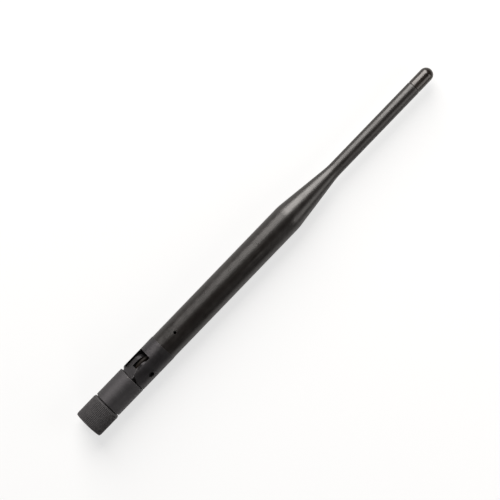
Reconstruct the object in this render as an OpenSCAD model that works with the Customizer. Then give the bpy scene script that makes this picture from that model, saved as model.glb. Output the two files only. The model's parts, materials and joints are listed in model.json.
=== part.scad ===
// Tilt-and-swivel whip antenna with a threaded coaxial plug.
// +Z runs along the antenna from the plug to the tip. z = 0 is the plug's mating plane,
// the hinge pin line is parallel to X, and the whip folds down towards -Y.

/* [Whole antenna] */
// Length from the mouth of the grip sleeve to the tip
overall_l = 199.8; // [180:0.2:240]
// Height of the hinge's turning axis above the mating plane
pivot_z = 29.8; // [29.7:0.1:31]

/* [Coupling nut and grip sleeve] */
// How far the nut's mouth stands in front of the mating plane
nut_reach = 2.7; // [2.6:0.1:3.4]
// Minor radius of the 1/4-36 thread in the nut
thread_r = 2.85; // [2.8:0.01:2.9]
// Width of the nut across its six flats
nut_flats = 8.0; // [7.6:0.1:9]
// Outer diameter over the ribs of the grip sleeve
grip_d = 12.95; // [12.4:0.05:14]
// Length of the grip sleeve
grip_l = 10.95; // [10.8:0.05:11.8]
// Number of ribs round the grip sleeve
rib_count = 60; // [36:1:80]
// Depth of the grooves between the ribs
rib_depth = 0.24; // [0.1:0.02:0.4]

/* [Base] */
// Outer diameter of the base housing
base_d = 12.45; // [12:0.05:13]
// Length of the base housing
base_l = 14.15; // [13.5:0.05:14.2]
// Gap between the grip sleeve and the base housing
base_gap = 0.5; // [0.4:0.05:0.6]

/* [Hinge] */
// Half thickness of the tongue along the hinge axis
tongue_half = 3.6; // [3.3:0.02:3.62]
// Distance of the tongue's flat faces, and of its rounded top, from the hinge axis
tongue_r = 3.9; // [3.8:0.05:4.2]
// Half width of the cable channel through the tongue
channel_half = 1.45; // [1.3:0.05:1.6]
// Depth of the channel's floor below the hinge axis
channel_depth = 2.8; // [2.4:0.1:3.2]
// Radius of the moulded pins that the mast turns on
pin_r = 1.2; // [1:0.05:1.3]
// Half width of the slot in the hinge barrel
slot_half = 3.72; // [3.7:0.01:3.8]
// Height of the slot's top above the hinge axis
slot_top = 4.45; // [4.3:0.05:4.9]
// Radius of the barrel's rounded foot about the hinge axis
foot_r = 6.75; // [6.6:0.05:6.8]

/* [Mast] */
// Diameter of the hinge barrel
barrel_d = 12.4; // [12:0.05:12.6]
// Diameter of the thick part of the radome
radome_d = 12.16; // [12:0.02:12.4]
// Diameter of the thin part of the radome
whip_d = 5.92; // [5.4:0.02:6]
// Height of the seam between hinge barrel and radome
seam_z = 40.9; // [40.5:0.1:42]
// Height at which the taper starts
taper_z = 113.9; // [113:0.1:116]
// Half angle of the taper
taper_angle = 7; // [6.5:0.1:8]
// Length of the tip cap
cap_l = 10; // [9:0.1:11]
// Wall thickness of the radome
radome_wall = 1.16; // [1.1:0.02:1.2]

/* [Feed cable] */
// Diameter of the coaxial cable's jacket
cable_d = 1.8; // [1.6:0.05:1.9]
// How far the cable bows out towards the slot beside the hinge axis
bow = 3.0; // [2.4:0.1:3.2]
// Height of the stretch in which the cable bows out and comes back
bow_h = 13; // [12.5:0.1:13.5]

/* [Radiator] */
// Diameter of the radiator wire
wire_d = 1.0; // [0.8:0.05:1.2]
// Mean radius of the phasing coil
coil_r = 3.0; // [2.9:0.05:3.2]
// Turns of the phasing coil
coil_turns = 3; // [2:1:4]

/* [Hidden] */
$fn = 64;
eps = 0.01;
run = 0.08;                        // radial clearance of a turning fit

grip_r = grip_d / 2;
grip_lip = 0.15;                   // the sleeve's mouth in front of the nut's mouth
grip_z = -nut_reach - grip_lip;
grip_top = grip_z + grip_l;
tip_z = grip_z + overall_l;

base_r = base_d / 2;
base_z = grip_top + base_gap;
base_top = base_z + base_l;
base_floor = 4;                    // thickness of the housing's lower wall
bowl_r = 4.9;                      // the housing's inside

sleeve_r = 2.285;                  // outer conductor's sleeve, which enters the jack
sleeve_bore = 2.05;
sleeve_depth = 3.2;
insulator_r = 1.6;                 // of the insulator behind the sleeve
body_r = 2.6;                      // shell where the nut turns on it, and its stem
shell_collar_r = 3.25;
shell_collar_z = 6.3;
stem_z = base_z + 0.2;
stem_top = 15;
crimp_top = 18.5;
crimp_r = 1.0;
crimp_bore = 0.5;
snap_z = 3.95;                     // groove for the ring that holds the nut
snap_h = 0.7;
clip_z = base_z + base_floor + 0.15;
clip_h = 0.6;
nut_back = 6.0;
relief_r = 3.25;                   // recesses inside the nut, behind its thread
relief_top = 2.75;

contact_r = 0.635;
socket_r = 0.48;
socket_l = 2.2;
contact_top = 8.2;
insulator_top = 9;

cable_r = cable_d / 2;
core_r = 0.42;
upper_braid_r = 0.72;
jacket_z = 18.8;
ferrule_r = 1.65;
ferrule_top = jacket_z + 2.2;
jacket_top = 77;
bow_mid = pivot_z + 0.5;
bow_angle = 2 * atan(bow / bow_h);
bow_r = bow_h / 4 / sin(bow_angle);
bore_r = cable_r + 0.2;
channel_ramp = 4;                  // height over which the cable's bore opens into the channel

barrel_r = barrel_d / 2;
web_y = tongue_r + 0.15;           // inner face of the web behind the tongue
pin_hole_r = pin_r + 0.05;
neck = 0.5;                        // undercut of the tongue above its foot
pin_l = 4.6;                       // from the middle of the tongue to a pin's end
spigot_r = radome_d / 2 - radome_wall - 0.02;
spigot_top = 51;
vent_z = 48.6;                     // vent holes through the radome and the spigot
vent_r = 0.7;
vent_turn = 38;                    // of the first one, from -Y towards +X
vent_count = 2;

radome_r = radome_d / 2;
whip_r = whip_d / 2;
radome_bore = radome_r - radome_wall;
whip_bore = whip_r - radome_wall;
taper_end = taper_z + (radome_r - whip_r) / tan(taper_angle);
shoulder_blend = 20;
waist_blend = 35;
cap_z = tip_z - cap_l;
cap_r = whip_r - 0.02;
groove_r = whip_r - 0.16;          // at the bottom of the groove under the cap
groove_run = 0.5;                  // along which the radome falls into the groove
cap_spigot_l = 8;

choke_r = 4.0;
choke_wall = 0.3;
choke_z = 52.6;
choke_top = 78;
disc_l = 0.5;                      // thickness of the disc that closes the choke sleeve
feed_z = choke_top + 2.6;          // where the core meets the radiator wire
bead_l = 0.5;                      // of the solder between them
wire_r = wire_d / 2;
coil_z = 103.6;
coil_pitch = 2.4;
coil_lead = 2.0;                   // height over which the wire swings out and back
coil_top = coil_z + coil_turns * coil_pitch;
wire_top = cap_z - cap_spigot_l - 4;
former_r = coil_r - wire_r - 0.15;
foam_z = 90;
foam_l = 6;
spacer_z = [146, 160];             // feet of the spacers in the thin part
spacer_l = 3;

// points on an arc about [cx, cy], from angle a0 to a1
function arc(cx, cy, r, a0, a1, n = 8) =
    [for (i = [0 : n]) let (a = a0 + (a1 - a0) * i / n) [cx + r * cos(a), cy + r * sin(a)]];

function unit(v) = v / norm(v);

// direction of the path at point i, averaged over its two neighbours
function heading(p, i) = unit(p[min(i + 1, len(p) - 1)] - p[max(i - 1, 0)]);

// eight points about path point i, the first ones square to the path and to across
function rod_ring(p, i, across, r) =
    let (d = heading(p, i),
         side = unit(cross(d, across)),
         up = cross(side, d))
    [for (k = [0 : 7]) p[i] + r * (side * cos(k * 45) + up * sin(k * 45))];

// an eight-sided rod of radius r along the points of p
module swept_rod(p, across, r) {
    n = len(p);
    points = [for (i = [0 : n - 1]) each rod_ring(p, i, across[i], r)];
    walls = [for (i = [0 : n - 2], k = [0 : 7])
        let (a = i * 8 + k, b = i * 8 + (k + 1) % 8)
        each [[a, a + 8, b + 8], [a, b + 8, b]]];
    ends = [[for (k = [0 : 7]) k], [for (k = [7 : -1 : 0]) (n - 1) * 8 + k]];
    polyhedron(points = points, faces = concat(walls, ends), convexity = 12);
}

// an upright ring or disc from z0 to z1
module ring(r_out, r_in, z0, z1) {
    translate([0, 0, z0])
        difference() {
            cylinder(r = r_out, h = z1 - z0);
            if (r_in > 0)
                translate([0, 0, -eps])
                    cylinder(r = r_in, h = z1 - z0 + 2 * eps);
        }
}

// a rod from z0 to z1 with both ends chamfered
module chamfered_rod(r, z0, z1, c) {
    rotate_extrude()
        polygon([[0, z0], [r - c, z0], [r, z0 + c], [r, z1 - c], [r - c, z1], [0, z1]]);
}

// a flat outline in Y and Z, made solid across X
module across(half) {
    rotate([90, 0, 90])
        linear_extrude(height = 2 * half, center = true)
            children();
}

// ---- plug ----

module connector_shell() {
    color("gold")
        difference() {
            union() {
                chamfered_rod(sleeve_r, 0, relief_top, 0.08);
                translate([0, 0, relief_top - 0.2])
                    cylinder(r = body_r, h = shell_collar_z - relief_top + 0.2 + eps);
                translate([0, 0, shell_collar_z])
                    cylinder(r = shell_collar_r, h = stem_z - shell_collar_z);
                translate([0, 0, stem_z - eps])
                    cylinder(r = body_r, h = stem_top - stem_z + eps);
                translate([0, 0, stem_top - eps])
                    cylinder(r = crimp_r, h = crimp_top - stem_top + eps);
            }
            ring(body_r + 1, body_r - 0.4, snap_z, snap_z + snap_h);
            ring(body_r + 1, body_r - 0.6, clip_z, clip_z + clip_h);
            translate([0, 0, -eps])
                cylinder(r = sleeve_bore, h = sleeve_depth + eps);
            cylinder(r = insulator_r, h = insulator_top);
            cylinder(r = crimp_bore, h = crimp_top + 1);
        }
}

module contact_insulator() {
    color("ivory")
        difference() {
            union() {
                cylinder(r = sleeve_bore, h = sleeve_depth);
                cylinder(r = insulator_r, h = insulator_top);
            }
            translate([0, 0, -eps])
                cylinder(r = contact_r, h = contact_top + eps);
            cylinder(r = crimp_bore, h = insulator_top + 1);
        }
}

// slit socket for the jack's pin
module centre_contact() {
    color("goldenrod")
        difference() {
            cylinder(r = contact_r, h = contact_top);
            translate([0, 0, -eps])
                cylinder(r = socket_r, h = socket_l + eps);
            for (turn = [0, 90])
                rotate([0, 0, turn])
                    translate([-1, -0.08, -eps])
                        cube([2, 0.16, socket_l - 0.3]);
            translate([0, 0, contact_top - 1.2])
                cylinder(r = core_r, h = 2);
        }
}

module face_gasket() {
    color("tomato")
        ring(3.1, sleeve_r, relief_top - 0.8, relief_top - 0.2);
}

// spring ring cut open on one side
module open_ring(r_out, r_in, z0, z1, gap) {
    difference() {
        ring(r_out, r_in, z0, z1);
        translate([0, -gap / 2, z0 - eps])
            cube([r_out + 1, gap, z1 - z0 + 2 * eps]);
    }
}

module nut_snap_ring() {
    color("silver")
        open_ring(relief_r - 0.12, body_r - 0.35, snap_z + 0.05, snap_z + snap_h - 0.05, 1.4);
}

module swivel_clip() {
    color("silver")
        open_ring(4.3, body_r - 0.55, clip_z + 0.05, clip_z + clip_h - 0.05, 2.4);
}

module crimp_ferrule() {
    color("gold")
        ring(ferrule_r, 1.25, stem_top + 0.1, ferrule_top);
}

module lower_braid() {
    color("silver")
        ring(1.22, crimp_r, stem_top + 0.3, crimp_top);
}

module lower_core() {
    color("white")
        translate([0, 0, contact_top - 1.2])
            cylinder(r = core_r, h = jacket_z - contact_top + 1.2);
}

// ---- coupling nut ----

module coupling_nut() {
    color("gold")
        difference() {
            intersection() {
                translate([0, 0, -nut_reach])
                    cylinder(r = nut_flats / 2 / cos(30), h = nut_reach + nut_back, $fn = 6);
                chamfered_rod(nut_flats / 2 / cos(30) - 0.12, -nut_reach, nut_back, 0.5);
            }
            translate([0, 0, -nut_reach - eps])
                cylinder(r = thread_r, h = nut_reach + eps);
            translate([0, 0, -nut_reach - eps])
                cylinder(r1 = thread_r + 0.25, r2 = thread_r, h = 0.25 + eps);
            cylinder(r = relief_r, h = relief_top);
            cylinder(r = body_r + run, h = nut_back + 1);
            translate([0, 0, snap_z - 0.15])
                cylinder(r = relief_r, h = snap_h + 0.3);
        }
}

// outline of the ribbed grip: each rib is a flat top between two sloping flanks
function rib_points() =
    [for (i = [0 : rib_count - 1], k = [0 : 3])
        let (step = 360 / rib_count,
             a = i * step + [-0.30, -0.16, 0.16, 0.30][k] * step,
             r = (k == 1 || k == 2) ? grip_r : grip_r - rib_depth)
        [r * cos(a), r * sin(a)]];

module grip_sleeve() {
    rib_start = 0.55;
    color("#26272a")
        difference() {
            union() {
                chamfered_rod(grip_r - rib_depth, grip_z, grip_top, 0.3);
                intersection() {
                    translate([0, 0, grip_z + rib_start])
                        linear_extrude(height = grip_l - 2 * rib_start)
                            polygon(rib_points());
                    chamfered_rod(grip_r + 0.02, grip_z + rib_start - 0.1,
                                  grip_top - rib_start + 0.1, 0.35);
                }
            }
            translate([0, 0, grip_z - eps])
                cylinder(r = nut_flats / 2 / cos(30) + 0.02, h = nut_back - grip_z + eps, $fn = 6);
            translate([0, 0, grip_z])
                cylinder(r = shell_collar_r + 0.15, h = grip_l + 1);
        }
}

// ---- base ----

module base_housing() {
    color("#2b2c2f")
        difference() {
            chamfered_rod(base_r, base_z, base_top, 0.25);
            translate([0, 0, base_z - 1])
                cylinder(r = body_r + run, h = base_l);
            translate([0, 0, base_z + base_floor])
                cylinder(r = bowl_r, h = base_l);
            translate([0, 0, base_z - eps])
                cylinder(r = shell_collar_r + 0.15, h = stem_z - base_z + 0.1);
        }
}

// cable way through the tongue: up its middle, then opening out towards the slot side
module cable_channel() {
    floor_z = pivot_z - channel_depth;
    across(channel_half)
        polygon([[channel_half, floor_z - channel_ramp / 2],
                 [channel_half, pivot_z + tongue_r + 1],
                 [-tongue_r - 1, pivot_z + tongue_r + 1],
                 [-tongue_r - 1, floor_z], [-tongue_r, floor_z],
                 [-bore_r, floor_z - channel_ramp]]);
}

module hinge_tongue() {
    foot_z = base_z + base_floor + 1.4;
    foot_top = base_top - 0.25;
    color("#232427")
        difference() {
            union() {
                translate([0, 0, foot_z])
                    cylinder(r = bowl_r - 0.02, h = foot_top - foot_z);
                translate([neck - tongue_half, neck - tongue_r, foot_top - eps])
                    cube([2 * (tongue_half - neck), 2 * (tongue_r - neck), 2 * neck]);
                translate([-tongue_half, -tongue_r, foot_top + neck])
                    cube([2 * tongue_half, 2 * tongue_r, pivot_z - foot_top - neck]);
                translate([-tongue_half, 0, pivot_z])
                    rotate([0, 90, 0])
                        cylinder(r = tongue_r, h = 2 * tongue_half);
                translate([-pin_l, 0, pivot_z])
                    rotate([0, 90, 0])
                        cylinder(r = pin_r, h = 2 * pin_l);
            }
            cable_channel();
            cylinder(r = bore_r, h = pivot_z);
            translate([0, 0, foot_z - 1])
                cylinder(r = ferrule_r + 0.35, h = ferrule_top + 0.4 - foot_z + 1);
            translate([0, 0, foot_z - 1])
                cylinder(r = body_r + 0.3, h = stem_top + 0.4 - foot_z + 1);
        }
}

// ---- feed cable ----

// centre line of the cable: up the axis, out in an arc beside the hinge and back to the axis
function cable_stations() =
    let (low = bow_mid - bow_h / 2,
         rise = bow_h / 4,
         out = arc(-bow_r, 0, bow_r, 0, bow_angle, 5),
         half = concat(out, [for (i = [4 : -1 : 0]) [-bow - out[i][0], 2 * rise - out[i][1]]]))
    concat(
        [[0, jacket_z]],
        [for (q = half) [q[0], low + q[1]]],
        [for (i = [len(half) - 2 : -1 : 0]) [half[i][0], low + bow_h - half[i][1]]],
        [[0, jacket_top]]);

module feed_cable() {
    path = [for (q = cable_stations()) [0, q[0], q[1]]];
    color("saddlebrown")
        swept_rod(path, [for (q = path) [1, 0, 0]], cable_r);
}

// ---- mast ----

module vent_holes(r) {
    for (i = [0 : vent_count - 1])
        rotate([0, 0, vent_turn + i * 360 / vent_count])
            translate([0, 0, vent_z])
                rotate([90, 0, 0])
                    cylinder(r = r, h = radome_r + 1);
}

module hinge_barrel() {
    foot_z = pivot_z - foot_r;
    color("#232427")
        difference() {
            union() {
                intersection() {
                    translate([0, 0, foot_z])
                        cylinder(r = barrel_r, h = seam_z - foot_z);
                    union() {
                        translate([-barrel_d, 0, pivot_z])
                            rotate([0, 90, 0])
                                cylinder(r = foot_r, h = 2 * barrel_d);
                        translate([-barrel_d, -barrel_d, pivot_z])
                            cube([2 * barrel_d, 2 * barrel_d, barrel_d]);
                        translate([-barrel_d, 0, foot_z + 0.03])
                            cube([2 * barrel_d, barrel_d, foot_r + 1]);
                    }
                }
                translate([0, 0, seam_z - eps])
                    cylinder(r = spigot_r, h = spigot_top - seam_z);
            }
            vent_holes(vent_r - 0.05);
            translate([-slot_half, -barrel_r - 1, foot_z - 1])
                cube([2 * slot_half, barrel_r + 1 + web_y, foot_r + slot_top + 1]);
            translate([-barrel_r - 1, 0, pivot_z])
                rotate([0, 90, 0])
                    cylinder(r = pin_hole_r, h = barrel_d + 2);
            cylinder(r = bore_r, h = spigot_top + 1);
            translate([0, 0, pivot_z + slot_top - eps])
                cylinder(r1 = 2.7, r2 = bore_r, h = 3.4);
            translate([0, 0, seam_z + 3])
                cylinder(r = spigot_r - 1.2, h = spigot_top);
        }
}

// half outline of the radome's outside, from its foot to the groove under the cap
function radome_outline() =
    let (half = taper_angle / 2,
         t1 = shoulder_blend * tan(half),
         t2 = waist_blend * tan(half))
    concat(
        [[radome_r - 0.12, seam_z], [radome_r, seam_z + 0.12]],
        arc(radome_r - shoulder_blend, taper_z - t1, shoulder_blend, 0, taper_angle),
        arc(whip_r + waist_blend, taper_end + t2, waist_blend, 180 + taper_angle, 180),
        [[whip_r, cap_z - groove_run], [whip_r - 0.05, cap_z - groove_run / 2], [groove_r, cap_z]]);

module radome() {
    color("#1d1e20")
        difference() {
            rotate_extrude($fn = 96)
                polygon(concat([[0, seam_z]], radome_outline(), [[0, cap_z]]));
            rotate_extrude($fn = 96)
                polygon([[0, seam_z - 1], [radome_bore, seam_z - 1], [radome_bore, taper_z - 1.2],
                         [whip_bore, taper_end - 1], [whip_bore, cap_z + 1], [0, cap_z + 1]]);
            vent_holes(vent_r);
        }
}

module tip_cap() {
    color("#0f0f10")
        union() {
            rotate_extrude()
                polygon(concat([[0, cap_z], [groove_r, cap_z], [cap_r - 0.05, cap_z + groove_run / 2],
                                [cap_r, cap_z + groove_run]],
                               arc(0, tip_z - cap_r, cap_r, 0, 90, 12)));
            translate([0, 0, cap_z - cap_spigot_l])
                cylinder(r = whip_bore - 0.03, h = cap_spigot_l + eps);
        }
}

module choke_sleeve() {
    color("goldenrod")
        ring(choke_r, choke_r - choke_wall, choke_z, choke_top);
}

module choke_disc() {
    color("goldenrod")
        ring(choke_r - choke_wall, core_r + 0.2, choke_top - disc_l, choke_top);
}

module choke_bush() {
    color("ivory")
        difference() {
            union() {
                ring(choke_r - choke_wall, 0, choke_z, choke_z + 4);
                ring(radome_bore - 0.1, 0, choke_z - 1, choke_z);
            }
            translate([0, 0, choke_z - 2])
                cylinder(r = bore_r, h = 8);
        }
}

module upper_braid() {
    color("silver")
        ring(upper_braid_r, core_r, jacket_top, choke_top - disc_l);
}

module upper_core() {
    color("white")
        translate([0, 0, jacket_top])
            cylinder(r = core_r, h = feed_z - bead_l - jacket_top);
}

module feed_insulator() {
    color("ivory")
        ring(1.3, core_r, choke_top + 0.02, choke_top + 1.6);
}

// the cone of solder on the disc, and the bead that joins the core to the wire
module solder_joints() {
    color("lightgray") {
        difference() {
            translate([0, 0, jacket_top + 0.05])
                cylinder(r1 = 1.0, r2 = 1.9, h = choke_top - disc_l - jacket_top - 0.05);
            translate([0, 0, jacket_top])
                cylinder(r = upper_braid_r, h = 2);
        }
        translate([0, 0, feed_z - bead_l])
            cylinder(r = 0.75, h = bead_l);
    }
}

module shrink_tube() {
    color("#101010")
        ring(1.75, 1.35, choke_top + 0.1, feed_z + 5);
}

// centre line of the radiator wire as [angle, radius, height]: straight up the axis,
// out to the coil, round it and back to the axis
function wire_stations() =
    let (lead = [1 / 6 : 1 / 6 : 0.9])
    concat(
        [[-180, 0, feed_z], [-180, 0, coil_z - coil_lead]],
        [for (t = lead) [180 * t - 180, coil_r * t, coil_z - coil_lead * (1 - t)]],
        [for (a = [0 : 20 : coil_turns * 360]) [a, coil_r, coil_z + coil_pitch * a / 360]],
        [for (t = lead) [180 * t, coil_r * (1 - t), coil_top + coil_lead * t]],
        [[180, 0, coil_top + coil_lead], [180, 0, wire_top]]);

module radiator_wire() {
    stations = wire_stations();
    path = [for (q = stations) [q[1] * cos(q[0]), q[1] * sin(q[0]), q[2]]];
    color("darkgoldenrod")
        swept_rod(path, [for (q = stations) [cos(q[0]), sin(q[0]), 0]], wire_r);
}

module coil_former() {
    color("ivory")
        chamfered_rod(former_r, coil_z + 0.3, coil_top - 0.3, 0.2);
}

module foam_collar() {
    color("gainsboro")
        ring(radome_bore - 0.1, wire_r + 0.06, foam_z, foam_z + foam_l);
}

module wire_spacers() {
    color("gainsboro")
        for (z = spacer_z)
            ring(whip_bore - 0.08, wire_r + 0.06, z, z + spacer_l);
}

connector_shell();
contact_insulator();
centre_contact();
face_gasket();
nut_snap_ring();
swivel_clip();
crimp_ferrule();
lower_braid();
lower_core();
coupling_nut();
grip_sleeve();
base_housing();
hinge_tongue();
feed_cable();
hinge_barrel();
radome();
tip_cap();
choke_sleeve();
choke_disc();
choke_bush();
upper_braid();
upper_core();
feed_insulator();
solder_joints();
shrink_tube();
radiator_wire();
coil_former();
foam_collar();
wire_spacers();
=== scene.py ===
"""Finished pieces, materials and studio for the tilt-and-swivel whip antenna, round its CAD frame."""
import json
import math

import bpy
from mathutils import Matrix, Vector


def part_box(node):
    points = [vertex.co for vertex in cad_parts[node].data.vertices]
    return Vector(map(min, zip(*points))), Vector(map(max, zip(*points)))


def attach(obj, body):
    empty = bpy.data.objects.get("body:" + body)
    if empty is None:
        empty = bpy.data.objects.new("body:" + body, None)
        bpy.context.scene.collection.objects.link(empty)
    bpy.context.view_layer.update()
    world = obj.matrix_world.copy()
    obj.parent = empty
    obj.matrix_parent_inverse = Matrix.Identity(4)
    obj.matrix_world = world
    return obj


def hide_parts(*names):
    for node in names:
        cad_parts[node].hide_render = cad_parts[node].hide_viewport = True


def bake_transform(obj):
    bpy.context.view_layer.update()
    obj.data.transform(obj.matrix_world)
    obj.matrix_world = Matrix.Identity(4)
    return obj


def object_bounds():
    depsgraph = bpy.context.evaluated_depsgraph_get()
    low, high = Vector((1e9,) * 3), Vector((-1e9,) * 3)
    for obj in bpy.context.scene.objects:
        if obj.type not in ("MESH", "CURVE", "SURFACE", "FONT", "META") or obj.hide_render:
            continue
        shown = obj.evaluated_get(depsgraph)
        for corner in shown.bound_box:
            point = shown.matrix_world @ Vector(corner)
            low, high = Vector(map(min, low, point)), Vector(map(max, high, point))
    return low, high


bl_info = {
    "name": "Whip antenna",
    "version": (1, 0, 0),
    "blender": (4, 5, 0),
    "location": "3D View > Sidebar > Antenna",
    "description": "Builds the finished pieces of a tilt-and-swivel whip antenna and lights it",
    "category": "Object",
}

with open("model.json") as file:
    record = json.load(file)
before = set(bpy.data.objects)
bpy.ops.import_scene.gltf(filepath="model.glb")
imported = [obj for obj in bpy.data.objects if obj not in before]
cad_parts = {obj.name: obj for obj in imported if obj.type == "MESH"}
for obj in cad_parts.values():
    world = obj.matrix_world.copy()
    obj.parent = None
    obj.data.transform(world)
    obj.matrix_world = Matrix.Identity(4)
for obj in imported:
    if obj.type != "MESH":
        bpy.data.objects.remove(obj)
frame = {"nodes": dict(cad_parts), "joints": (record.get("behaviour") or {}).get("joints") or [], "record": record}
cad_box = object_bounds()

MM = 0.001
SMOOTH_ANGLE = math.radians(21)
DUST = (0.42, 0.40, 0.37)
BRAID_DARK = (0.30, 0.29, 0.27)
BRAID_PALE = (0.74, 0.73, 0.70)


# ---- places read from the frame ----

def reach(node):
    """Largest distance of a node's box from the antenna's axis."""
    low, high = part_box(node)
    return max(high.x, high.y, -low.x, -low.y)


def foot(node):
    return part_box(node)[0].z


def top(node):
    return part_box(node)[1].z


def joint(name):
    return next(j for j in frame["joints"] if j["name"] == name)


PIVOT = Vector(joint("tilt")["pos_m"])


# ---- sizes and colours that a user may change ----

def length(name, description, default, least=0.0, most=0.1):
    """A size in metres, shown in the sidebar with its unit."""
    return bpy.props.FloatProperty(
        name=name, description=description, default=default, min=least, max=most,
        precision=5, subtype="DISTANCE", unit="LENGTH")


def tint(name, description, default):
    return bpy.props.FloatVectorProperty(
        name=name, description=description, default=default, size=3, min=0.0, max=1.0,
        subtype="COLOR")


class GripSizes(bpy.types.PropertyGroup):
    """Ribbed sleeve over the coupling nut."""
    ribs: bpy.props.IntProperty(
        name="Ribs", description="Ribs round the sleeve", default=60, min=24, max=90)
    rib_depth: length("Rib depth", "Depth of the grooves between the ribs", 0.24 * MM)
    lip: length("Lip", "Plain stretch at each end of the ribs", 0.5 * MM)
    edge: length("Edge", "Rounding of the sleeve's ends", 0.3 * MM)
    thread_pitch: length("Thread pitch", "Pitch of the nut's inside thread", 0.7056 * MM)


class HingeSizes(bpy.types.PropertyGroup):
    """Base housing, tongue and barrel."""
    edge: length("Edge", "Rounding of the moulded edges", 0.14 * MM)
    rim: length("Rim", "Rounding of the base housing's ends", 0.22 * MM)
    bearing: length("Bearing", "Height of the bearing ring under the base housing", 0.35 * MM)
    bowl: length("Bowl", "Inside radius of the base housing", 4.9 * MM)
    floor: length("Floor", "Thickness of the base housing's lower wall", 4.0 * MM)
    tongue: length("Tongue", "Half thickness of the tongue", 3.6 * MM)
    tongue_round: length("Tongue round", "Radius of the tongue's top about the hinge axis", 3.9 * MM)
    neck: length("Neck", "Height and depth of the undercut where the tongue leaves the base", 0.5 * MM)
    channel: length("Channel", "Half width of the cable channel", 1.45 * MM)
    channel_depth: length("Channel depth", "Depth of the channel's floor below the hinge axis", 2.8 * MM)
    pin: length("Pin", "Radius of the moulded hinge pins", 1.2 * MM)
    slot: length("Slot", "Half width of the barrel's slot", 3.72 * MM)
    slot_top: length("Slot top", "Height of the slot's end above the hinge axis", 4.45 * MM)
    web: length("Web", "Inner face of the wall behind the tongue, from the hinge axis", 4.05 * MM)
    bore: length("Bore", "Radius of the cable's way through", 1.1 * MM)


class MastSizes(bpy.types.PropertyGroup):
    """Radome and tip cap."""
    seam: length("Seam", "Rounding at the seam with the barrel", 0.10 * MM)
    wall: length("Wall", "Wall thickness of the radome", 1.16 * MM)
    whip: length("Whip", "Radius of the thin part", 2.96 * MM)
    taper_start: length("Taper start", "Height at which the taper starts", 113.9 * MM, most=0.2)
    taper_angle: bpy.props.FloatProperty(
        name="Taper angle", description="Half angle of the taper", default=math.radians(7),
        min=math.radians(4), max=math.radians(12), subtype="ANGLE", unit="ROTATION")
    shoulder: length("Shoulder", "Radius that rounds the taper's lower end", 20 * MM)
    waist: length("Waist", "Radius that rounds the taper's upper end", 35 * MM)
    groove: length("Groove", "Depth of the groove under the tip cap", 0.16 * MM)
    vent_height: length("Vent height", "Height of the vent holes", 48.6 * MM)
    vent: length("Vent", "Radius of the vent holes", 0.7 * MM)
    vent_turn: bpy.props.FloatProperty(
        name="Vent turn", description="Turn of the vent holes from the slot's side",
        default=math.radians(38), subtype="ANGLE", unit="ROTATION")


class Finishes(bpy.types.PropertyGroup):
    """Colours of the finishes."""
    grip: tint("Grip", "Dry moulded plastic of the ribbed sleeve", (0.019, 0.0186, 0.019))
    base: tint("Base", "Moulded plastic of the base housing", (0.0125, 0.0121, 0.0127))
    hinge: tint("Hinge", "Moulded plastic of tongue and barrel", (0.0050, 0.0047, 0.0050))
    radome: tint("Radome", "Satin plastic of the radome", (0.0058, 0.0047, 0.0042))
    cap: tint("Cap", "Smooth plastic of the tip cap", (0.0075, 0.0056, 0.0046))
    # The jacket's brown is darkened past the cable's own colour: painted shade for the channel it lies in.
    jacket: tint("Jacket", "Brown jacket of the feed cable", (0.0050, 0.0026, 0.0013))
    # Pale colour of scuffs and worn edges; on the edges it also paints the highlight of the rounded rims.
    wear_and_highlight: tint("Wear", "Rubbed edges of the black plastics", (0.20, 0.19, 0.18))


class Studio(bpy.types.PropertyGroup):
    """Camera, table and lamps."""
    azimuth: bpy.props.FloatProperty(
        name="Azimuth", description="Side from which the camera looks", default=math.radians(45),
        subtype="ANGLE", unit="ROTATION")
    lean: bpy.props.FloatProperty(
        name="Lean", description="Lean of the whip in the picture, from upright to the right",
        default=math.radians(43.97), subtype="ANGLE", unit="ROTATION")
    lens: bpy.props.FloatProperty(
        name="Lens", description="Focal length of the camera", default=180.0, min=50, max=400,
        subtype="DISTANCE_CAMERA")
    span: length("Span", "Width that the picture takes in", 0.2024, most=1.0)
    aim_height: length("Aim height", "Height on the antenna that the camera looks at", 93.5 * MM, most=0.2)
    aim_side: length("Aim side", "How far the camera looks to the side of the axis", -2.02 * MM, least=-0.1)
    table_gap: length("Table gap", "Gap between the antenna and the table behind it", 0.05 * MM)


# ---- making meshes ----

def deselect_all():
    if bpy.context.object and bpy.context.object.mode != "OBJECT":
        bpy.ops.object.mode_set(mode="OBJECT")
    bpy.ops.object.select_all(action="DESELECT")


def activate(piece):
    deselect_all()
    bpy.context.view_layer.objects.active = piece
    piece.select_set(True)


def settle(piece, name=None):
    """Puts a piece's place into its mesh, so that its object stays at the origin."""
    activate(piece)
    bpy.ops.object.transform_apply(location=True, rotation=True, scale=True)
    if name:
        piece.name = name
        piece.data.name = name
    return piece


def arc(centre, radius, start, end, steps=8):
    """Points on an arc in an outline, with angles in degrees."""
    turns = [math.radians(start + (end - start) * i / steps) for i in range(steps + 1)]
    return [(centre[0] + radius * math.cos(a), centre[1] + radius * math.sin(a)) for a in turns]


def rounded(outline, corners, steps=3):
    """The outline with the numbered corners rounded by {corner: radius}."""
    made = []
    for i, point in enumerate(outline):
        here = Vector(point)
        if i not in corners:
            made.append(tuple(here))
            continue
        back = (Vector(outline[i - 1]) - here).normalized()
        ahead = (Vector(outline[(i + 1) % len(outline)]) - here).normalized()
        half = back.angle(ahead) / 2
        run = corners[i] / math.tan(half)
        centre = here + (back + ahead).normalized() * (corners[i] / math.sin(half))
        a, b = here + back * run - centre, here + ahead * run - centre
        for k in range(steps + 1):
            spot = a.lerp(b, k / steps).normalized() * corners[i]
            made.append(tuple(centre + spot))
    return made


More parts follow.
